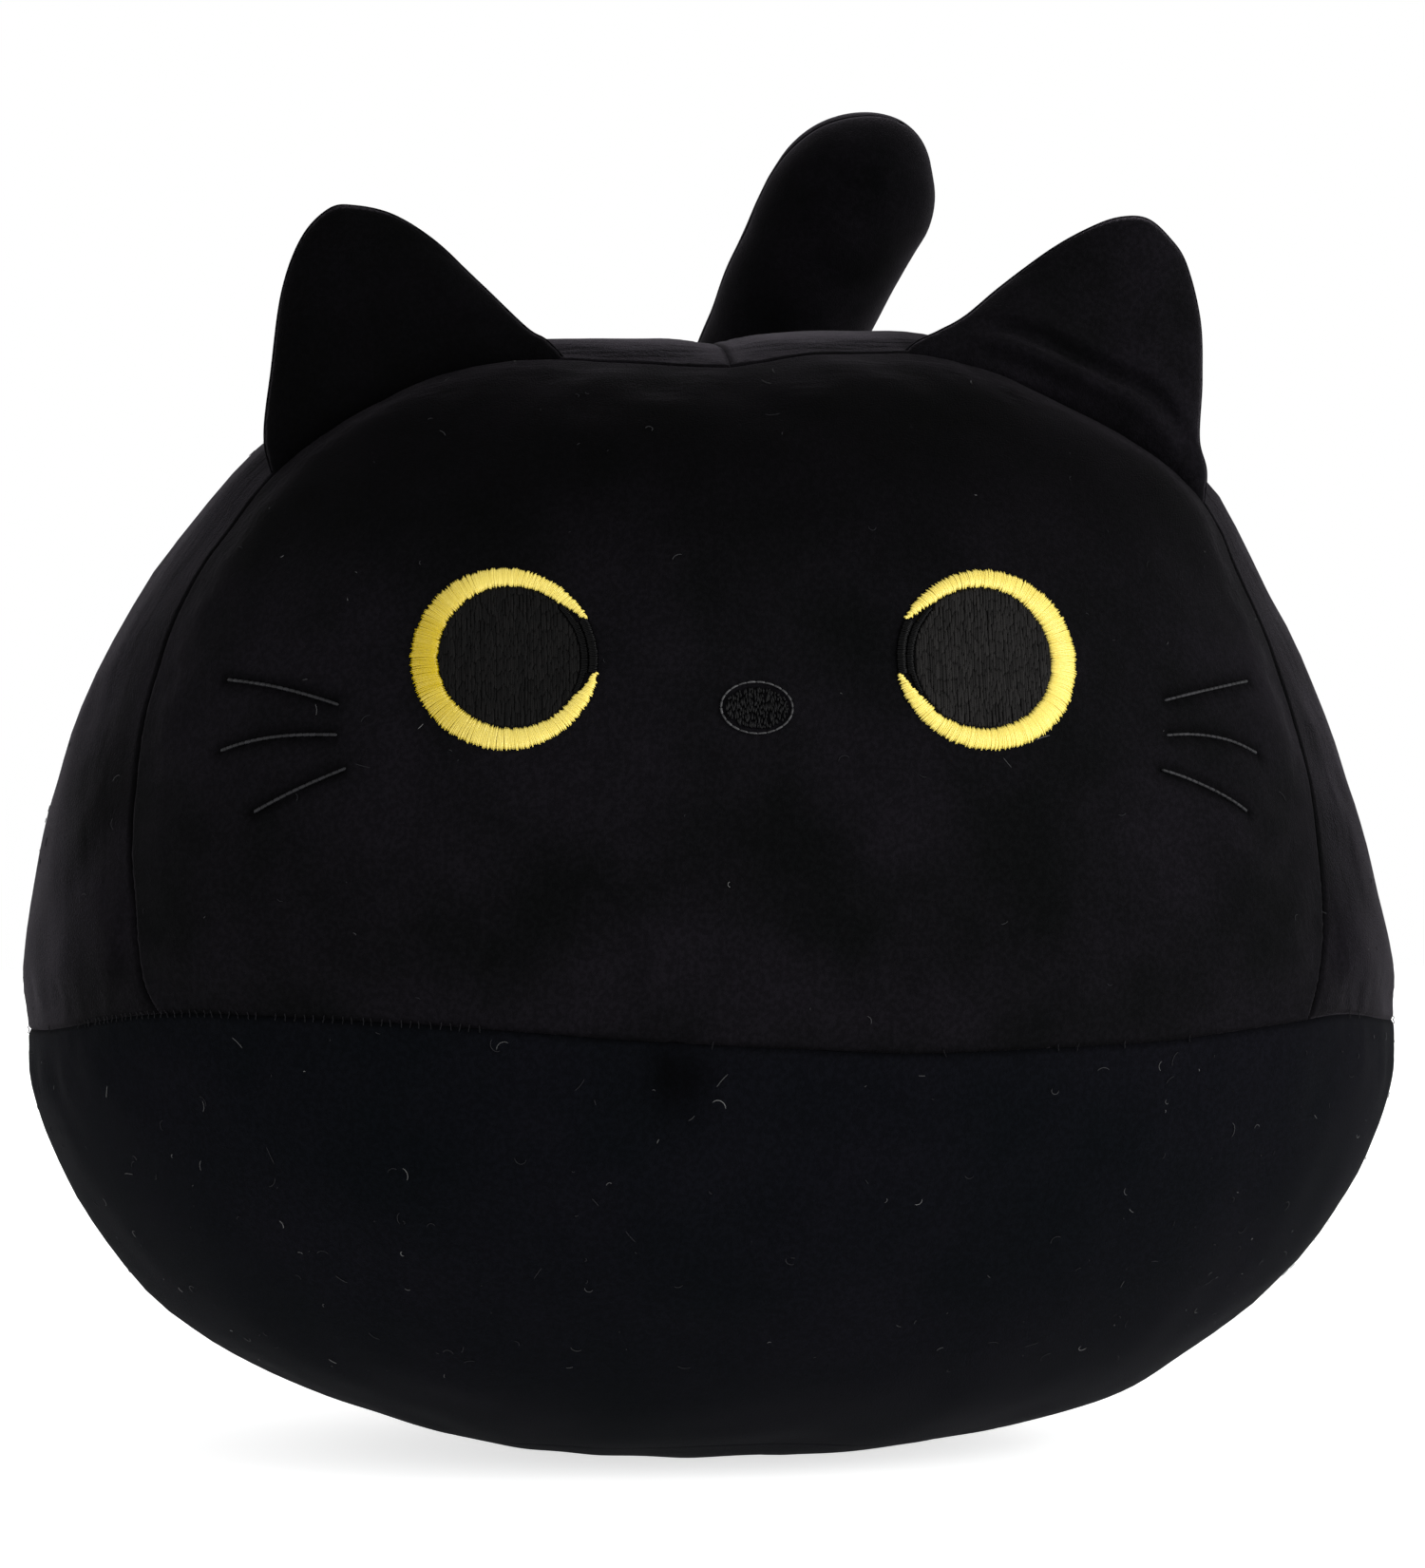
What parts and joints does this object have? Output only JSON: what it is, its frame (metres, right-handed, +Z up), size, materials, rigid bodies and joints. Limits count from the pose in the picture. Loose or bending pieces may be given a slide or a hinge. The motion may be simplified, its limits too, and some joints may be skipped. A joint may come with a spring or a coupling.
{
  "type": "plush cat",
  "caption": "Round sitting plush cat cushion in dark velvet with soft folding ears, an embroidered face and a raised stuffed tail.",
  "frame": {"origin": "middle of the flat patch under the base, on the surface the cat rests on", "axes": "+X to the right as the face is seen, the face looks along -Y, +Z up"},
  "size_m": [0.4, 0.3667, 0.405],
  "materials": {
    "upper_plush": "short velvet pile with a soft sheen",
    "lower_plush": "short velvet pile, slightly bluer",
    "eye_thread": "satin stitched embroidery thread",
    "pupil_thread": "matt fill stitches",
    "satin_thread": "glossy satin stitches",
    "outline_thread": "running stitch",
    "sewing_thread": "polyester sewing thread",
    "stuffing": "loose polyester fibre",
    "backing": "non-woven backing",
    "label": "blank woven satin"
  },
  "bodies": {
    "torso": {"face_panel": "upper_plush", "left_side_panel": "upper_plush", "right_side_panel": "upper_plush", "belly_panel": "lower_plush", "rump_panel": "lower_plush", "base_panel": "lower_plush", "body_stuffing": "stuffing", "face_seam_thread": "sewing_thread", "centre_seam_thread": "sewing_thread", "waist_seam_thread": "sewing_thread", "base_seam_thread": "sewing_thread", "flank_seam_threads": "sewing_thread", "closing_stitches": "sewing_thread", "care_label": "label", "left_eye_crescent": "eye_thread", "left_eye_pupil": "pupil_thread", "left_eye_bar": "satin_thread", "left_eye_backing": "backing", "right_eye_crescent": "eye_thread", "right_eye_pupil": "pupil_thread", "right_eye_bar": "satin_thread", "right_eye_backing": "backing", "nose_fill": "satin_thread", "nose_outline": "outline_thread", "nose_backing": "backing", "left_whisker_upper": "sewing_thread", "left_whisker_middle": "sewing_thread", "left_whisker_lower": "sewing_thread", "right_whisker_upper": "sewing_thread", "right_whisker_middle": "sewing_thread", "right_whisker_lower": "sewing_thread"},
    "left_ear": {"left_ear_front_panel": "upper_plush", "left_ear_back_panel": "upper_plush", "left_ear_stuffing": "stuffing"},
    "right_ear": {"right_ear_front_panel": "upper_plush", "right_ear_back_panel": "upper_plush", "right_ear_stuffing": "stuffing"},
    "tail_lower": {"tail_lower_front_panel": "upper_plush", "tail_lower_back_panel": "upper_plush", "tail_lower_stuffing": "stuffing"},
    "tail_upper": {"tail_upper_front_panel": "upper_plush", "tail_upper_back_panel": "upper_plush", "tail_upper_stuffing": "stuffing"}
  },
  "joints": [
    {"name": "left_ear_fold", "type": "hinge", "parent": "torso", "child": "left_ear", "pos_m": [-0.096, -0.05, 0.3055], "axis": [0.9011, 0, 0.4337], "range_deg": [-20, 30], "stiffness_Nm_per_rad": 0.06},
    {"name": "right_ear_fold", "type": "hinge", "parent": "torso", "child": "right_ear", "pos_m": [0.096, -0.05, 0.3055], "axis": [0.9011, 0, -0.4337], "range_deg": [-20, 30], "stiffness_Nm_per_rad": 0.06},
    {"name": "tail_sway", "type": "hinge", "parent": "torso", "child": "tail_lower", "pos_m": [0, 0.158, 0.17], "axis": [0, 1, 0], "range_deg": [-20, 20], "stiffness_Nm_per_rad": 1.5},
    {"name": "tail_curl", "type": "hinge", "parent": "tail_lower", "child": "tail_upper", "pos_m": [0.0215, 0.1755, 0.2751], "axis": [1, 0, 0], "range_deg": [-20, 25], "stiffness_Nm_per_rad": 0.8}
  ]
}
